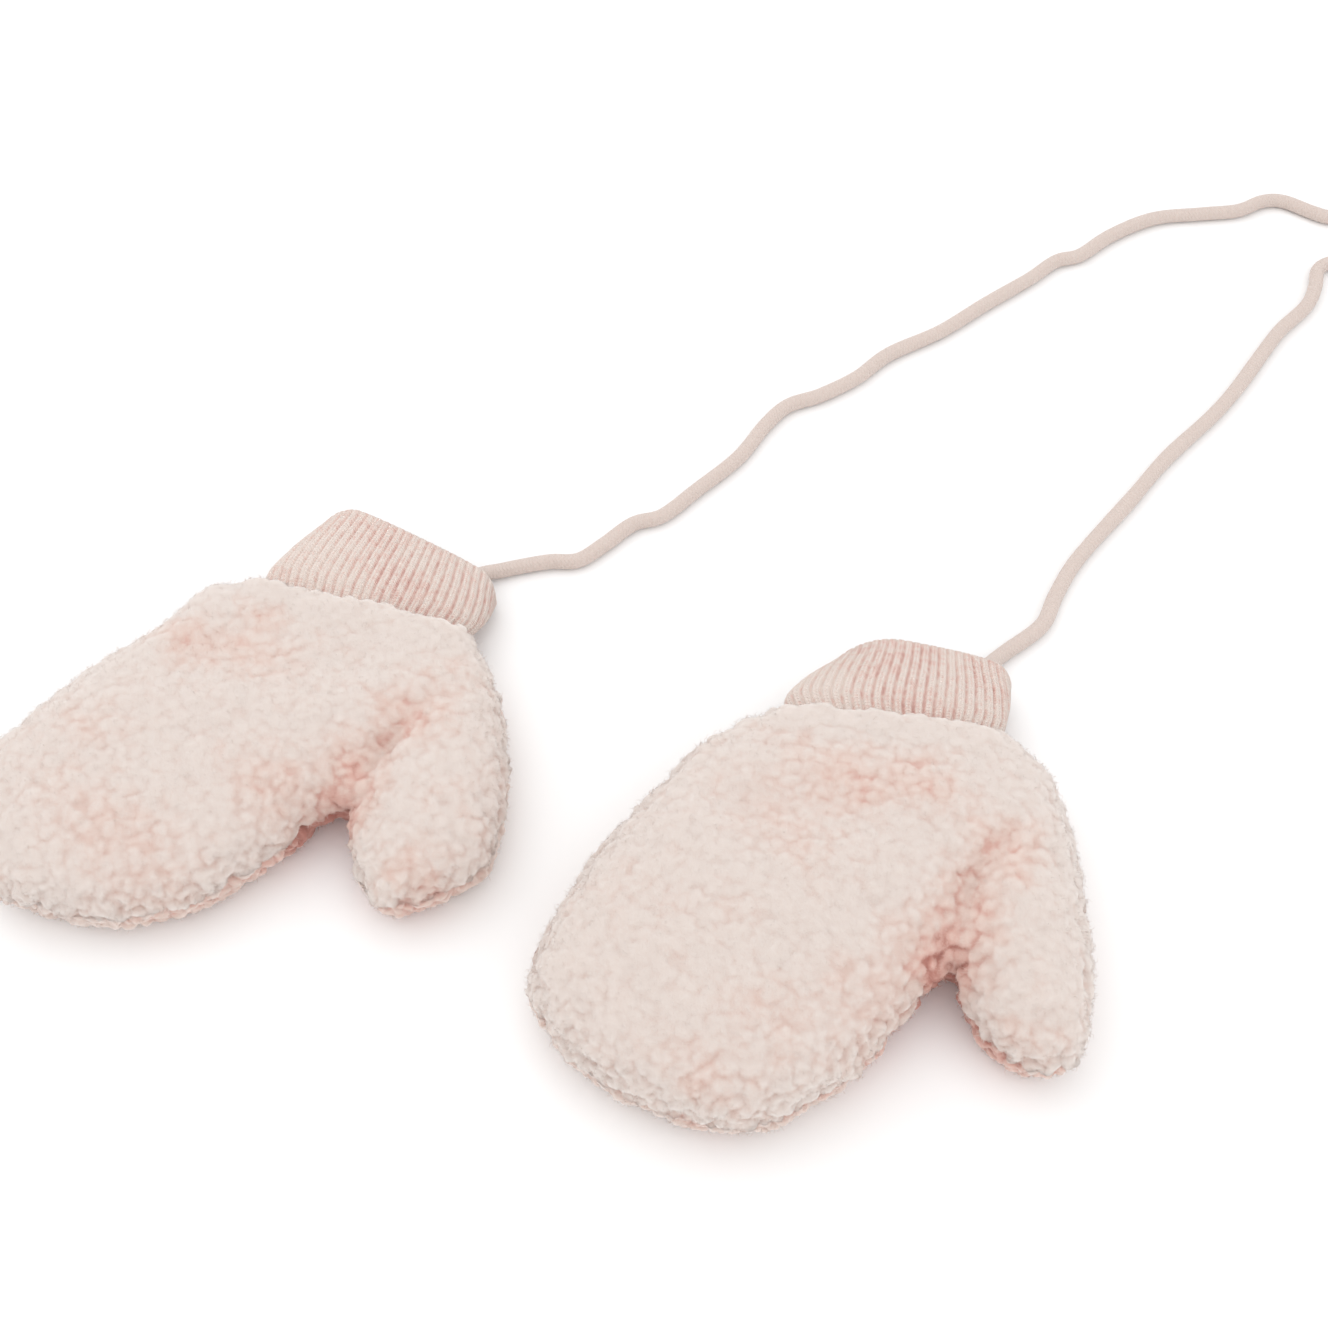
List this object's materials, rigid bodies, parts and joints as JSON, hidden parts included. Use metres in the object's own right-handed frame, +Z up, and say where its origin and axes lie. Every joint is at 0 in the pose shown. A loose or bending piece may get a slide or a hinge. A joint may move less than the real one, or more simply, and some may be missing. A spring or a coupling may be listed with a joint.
{
  "type": "pair of baby mittens",
  "caption": "Teddy-fleece baby mittens with thumbs and rib-knit cuffs, joined by a long knit cord, lying flat with their backs up.",
  "frame": {"origin": "bottom centre of the two mittens as they lie, without the cord", "axes": "+X from the left mitten to the right one, +Y away from the fingertips towards the cuffs, +Z up from the surface they lie on to their back panels"},
  "size_m": [0.4419, 0.3214, 0.0282],
  "materials": {
    "teddy_fleece": "curly teddy pile on a knit backing, matt, pale pink",
    "rib_knit": "fine rib knit, matt, pale pink",
    "cord_knit": "round knit cord, matt, pale pink"
  },
  "bodies": {
    "root": {"left_back_panel": "teddy_fleece", "left_palm_panel": "teddy_fleece", "left_cuff": "rib_knit", "right_back_panel": "teddy_fleece", "right_palm_panel": "teddy_fleece", "right_cuff": "rib_knit", "cord_left": "cord_knit", "cord_right": "cord_knit", "cord_coil": "cord_knit"}
  },
  "joints": []
}
